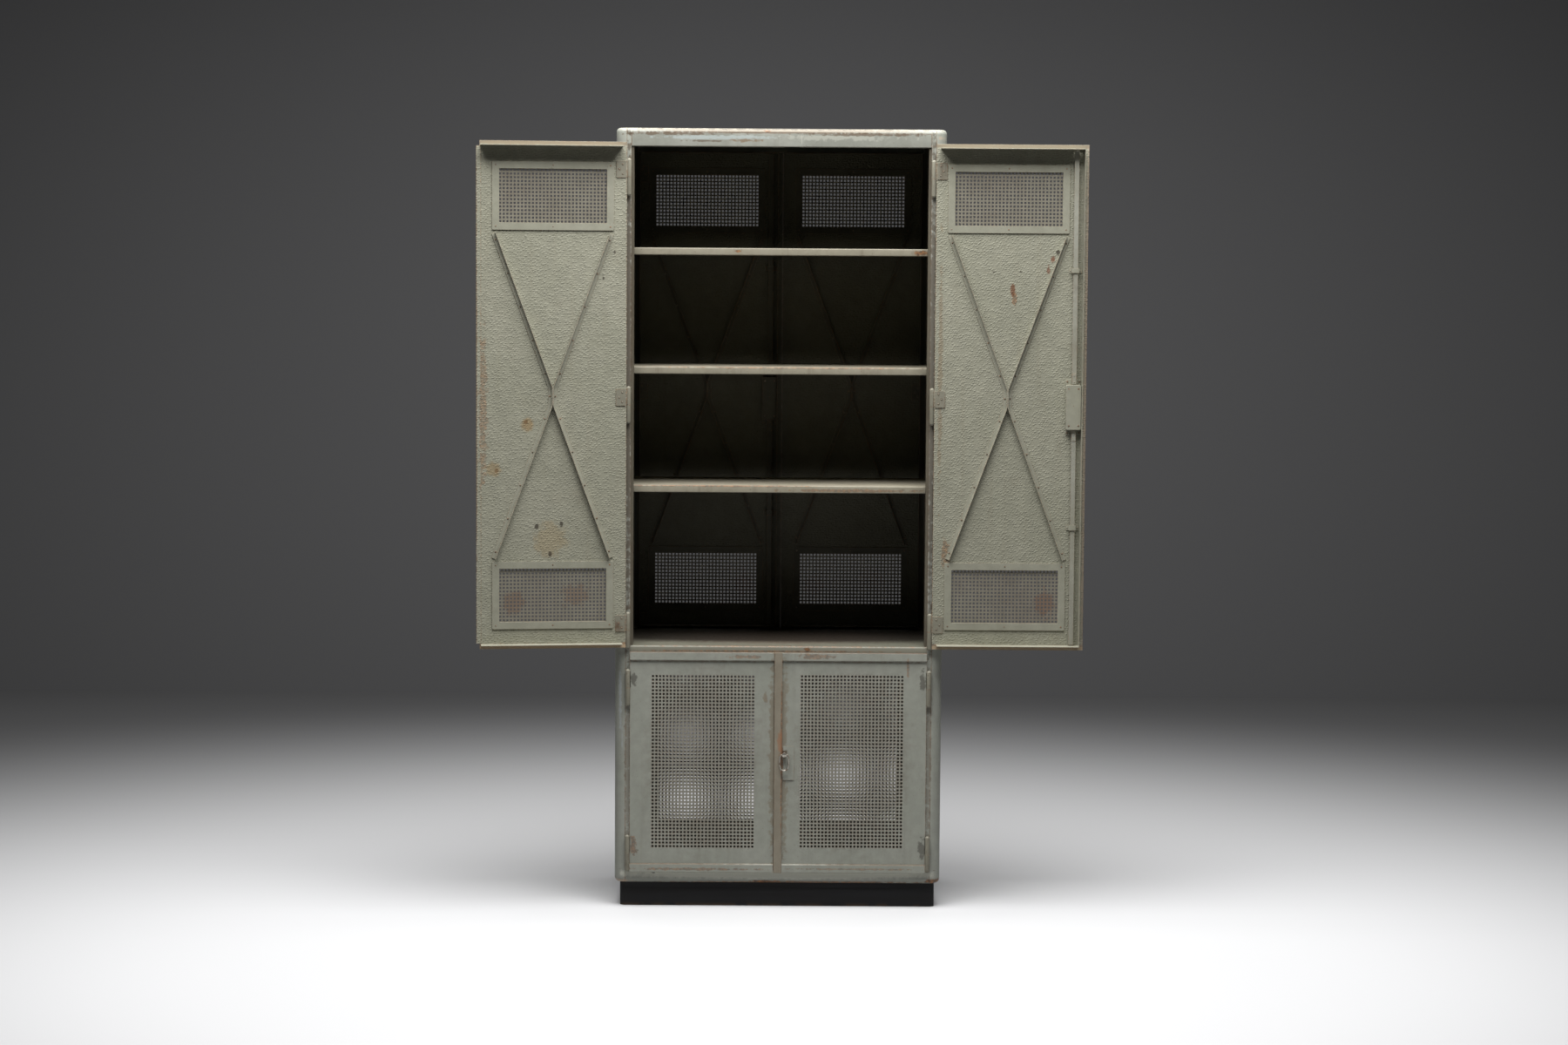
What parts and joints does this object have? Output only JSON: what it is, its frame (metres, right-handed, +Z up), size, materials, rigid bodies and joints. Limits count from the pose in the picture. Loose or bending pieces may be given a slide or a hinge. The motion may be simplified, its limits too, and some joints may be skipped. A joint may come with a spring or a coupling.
{
  "type": "pie safe",
  "caption": "Tall double-sided sheet-steel cupboard with perforated doors, rod locks, lift-off hinges, shelves and a set-back plinth; its upper front doors stand open.",
  "frame": {"origin": "centre of the plinth's footprint on the floor", "axes": "+Z up, -Y out of the front, where the open upper doors are, +X to the right seen from the front"},
  "size_m": [1.6848, 0.6055, 2.174],
  "materials": {
    "body_paint": "worn pale grey-green paint with rust at the edges",
    "inside_paint": "warm grey-green paint on embossed sheet",
    "black_wood": "black painted timber",
    "lock_steel": "painted steel, worn to bare metal at the edges"
  },
  "bodies": {
    "carcass": {"plinth": "black_wood", "bottom_pan": "body_paint", "left_side_panel": "body_paint", "right_side_panel": "body_paint", "top_panel": "body_paint", "front_header": "body_paint", "rear_header": "body_paint", "deck_panel": "body_paint", "upper_shelf": "inside_paint", "middle_shelf": "inside_paint", "lower_shelf": "inside_paint"},
    "front_plain_door": {"front_plain_door_skin": "inside_paint", "front_plain_door_brace": "inside_paint", "front_plain_door_upper_screen": "inside_paint", "front_plain_door_upper_frame": "inside_paint", "front_plain_door_lower_screen": "inside_paint", "front_plain_door_lower_frame": "inside_paint"},
    "front_lock_door": {"front_lock_door_skin": "inside_paint", "front_lock_door_tray": "inside_paint", "front_lock_door_brace": "inside_paint", "front_lock_door_upper_screen": "inside_paint", "front_lock_door_upper_frame": "inside_paint", "front_lock_door_lower_screen": "inside_paint", "front_lock_door_lower_frame": "inside_paint", "front_lock_case": "inside_paint", "front_lock_plate": "body_paint"},
    "front_upper_lock_rod": {"front_upper_rod": "lock_steel"},
    "front_lower_lock_rod": {"front_lower_rod": "lock_steel"},
    "front_lock_cam": {"front_lock_spindle": "lock_steel"},
    "front_lock_pull": {"front_lock_ring": "lock_steel"},
    "front_lower_left_door": {"front_lower_plain_door": "body_paint"},
    "front_lower_right_door": {"front_lower_latch_door": "body_paint", "front_cover_strip": "body_paint"},
    "front_latch_cam": {"front_latch_spindle": "lock_steel"},
    "front_latch_pull": {"front_latch_ring": "lock_steel"},
    "rear_plain_door": {"rear_plain_door_skin": "inside_paint", "rear_plain_door_brace": "inside_paint", "rear_plain_door_upper_screen": "inside_paint", "rear_plain_door_upper_frame": "inside_paint", "rear_plain_door_lower_screen": "inside_paint", "rear_plain_door_lower_frame": "inside_paint"},
    "rear_lock_door": {"rear_lock_door_skin": "inside_paint", "rear_lock_door_tray": "inside_paint", "rear_lock_door_brace": "inside_paint", "rear_lock_door_upper_screen": "inside_paint", "rear_lock_door_upper_frame": "inside_paint", "rear_lock_door_lower_screen": "inside_paint", "rear_lock_door_lower_frame": "inside_paint", "rear_lock_case": "inside_paint", "rear_lock_plate": "body_paint"},
    "rear_upper_lock_rod": {"rear_upper_rod": "lock_steel"},
    "rear_lower_lock_rod": {"rear_lower_rod": "lock_steel"},
    "rear_lock_cam": {"rear_lock_spindle": "lock_steel"},
    "rear_lock_pull": {"rear_lock_ring": "lock_steel"},
    "rear_lower_right_door": {"rear_lower_plain_door": "body_paint"},
    "rear_lower_left_door": {"rear_lower_latch_door": "body_paint", "rear_cover_strip": "body_paint"},
    "rear_latch_cam": {"rear_latch_spindle": "lock_steel"},
    "rear_latch_pull": {"rear_latch_ring": "lock_steel"}
  },
  "joints": [
    {"name": "front_plain_door_hinge", "type": "hinge", "parent": "carcass", "child": "front_plain_door", "pos_m": [-0.4208, -0.2426, 1.409], "axis": [0, 0, -1], "range_deg": [-171.9, 3]},
    {"name": "front_lock_door_hinge", "type": "hinge", "parent": "carcass", "child": "front_lock_door", "pos_m": [0.4208, -0.2426, 1.409], "axis": [0, 0, 1], "range_deg": [-180, 0]},
    {"name": "front_lock_turn", "type": "hinge", "parent": "front_lock_door", "child": "front_lock_cam", "pos_m": [0.8133, -0.2426, 1.411], "axis": [0, -1, 0], "range_deg": [0, 90]},
    {"name": "front_upper_rod_slide", "type": "slide", "parent": "front_lock_door", "child": "front_upper_lock_rod", "axis": [0, 0, 1], "range_m": [0, 0.015]},
    {"name": "front_lower_rod_slide", "type": "slide", "parent": "front_lock_door", "child": "front_lower_lock_rod", "axis": [0, 0, -1], "range_m": [0, 0.015]},
    {"name": "front_lock_ring_lift", "type": "hinge", "parent": "front_lock_cam", "child": "front_lock_pull", "pos_m": [0.8133, -0.2331, 1.411], "axis": [1, 0, 0], "range_deg": [0, 80]},
    {"name": "front_lower_left_door_hinge", "type": "hinge", "parent": "carcass", "child": "front_lower_left_door", "pos_m": [-0.4208, -0.2426, 0.386], "axis": [0, 0, -1], "range_deg": [0, 175]},
    {"name": "front_lower_right_door_hinge", "type": "hinge", "parent": "carcass", "child": "front_lower_right_door", "pos_m": [0.4208, -0.2426, 0.386], "axis": [0, 0, 1], "range_deg": [0, 175]},
    {"name": "front_latch_turn", "type": "hinge", "parent": "front_lower_right_door", "child": "front_latch_cam", "pos_m": [0.0178, -0.2426, 0.4335], "axis": [0, 1, 0], "range_deg": [0, 90]},
    {"name": "front_latch_ring_lift", "type": "hinge", "parent": "front_latch_cam", "child": "front_latch_pull", "pos_m": [0.0178, -0.2521, 0.4335], "axis": [-1, 0, 0], "range_deg": [0, 80]},
    {"name": "rear_plain_door_hinge", "type": "hinge", "parent": "carcass", "child": "rear_plain_door", "pos_m": [0.4208, 0.2426, 1.409], "axis": [0, 0, -1], "range_deg": [0, 175]},
    {"name": "rear_lock_door_hinge", "type": "hinge", "parent": "carcass", "child": "rear_lock_door", "pos_m": [-0.4208, 0.2426, 1.409], "axis": [0, 0, 1], "range_deg": [0, 175]},
    {"name": "rear_lock_turn", "type": "hinge", "parent": "rear_lock_door", "child": "rear_lock_cam", "pos_m": [-0.0283, 0.2426, 1.411], "axis": [0, -1, 0], "range_deg": [0, 90]},
    {"name": "rear_upper_rod_slide", "type": "slide", "parent": "rear_lock_door", "child": "rear_upper_lock_rod", "axis": [0, 0, 1], "range_m": [0, 0.015]},
    {"name": "rear_lower_rod_slide", "type": "slide", "parent": "rear_lock_door", "child": "rear_lower_lock_rod", "axis": [0, 0, -1], "range_m": [0, 0.015]},
    {"name": "rear_lock_ring_lift", "type": "hinge", "parent": "rear_lock_cam", "child": "rear_lock_pull", "pos_m": [-0.0283, 0.2521, 1.411], "axis": [1, 0, 0], "range_deg": [0, 80]},
    {"name": "rear_lower_right_door_hinge", "type": "hinge", "parent": "carcass", "child": "rear_lower_right_door", "pos_m": [0.4208, 0.2426, 0.386], "axis": [0, 0, -1], "range_deg": [0, 175]},
    {"name": "rear_lower_left_door_hinge", "type": "hinge", "parent": "carcass", "child": "rear_lower_left_door", "pos_m": [-0.4208, 0.2426, 0.386], "axis": [0, 0, 1], "range_deg": [0, 175]},
    {"name": "rear_latch_turn", "type": "hinge", "parent": "rear_lower_left_door", "child": "rear_latch_cam", "pos_m": [-0.0178, 0.2426, 0.4335], "axis": [0, -1, 0], "range_deg": [0, 90]},
    {"name": "rear_latch_ring_lift", "type": "hinge", "parent": "rear_latch_cam", "child": "rear_latch_pull", "pos_m": [-0.0178, 0.2521, 0.4335], "axis": [1, 0, 0], "range_deg": [0, 80]}
  ],
  "couplings": [
    {"joint": "front_lock_turn", "follows": "front_upper_rod_slide", "rad_per_m": 104.72},
    {"joint": "front_lower_rod_slide", "follows": "front_upper_rod_slide", "ratio": 1},
    {"joint": "rear_lock_turn", "follows": "rear_upper_rod_slide", "rad_per_m": 104.72},
    {"joint": "rear_lower_rod_slide", "follows": "rear_upper_rod_slide", "ratio": 1}
  ]
}
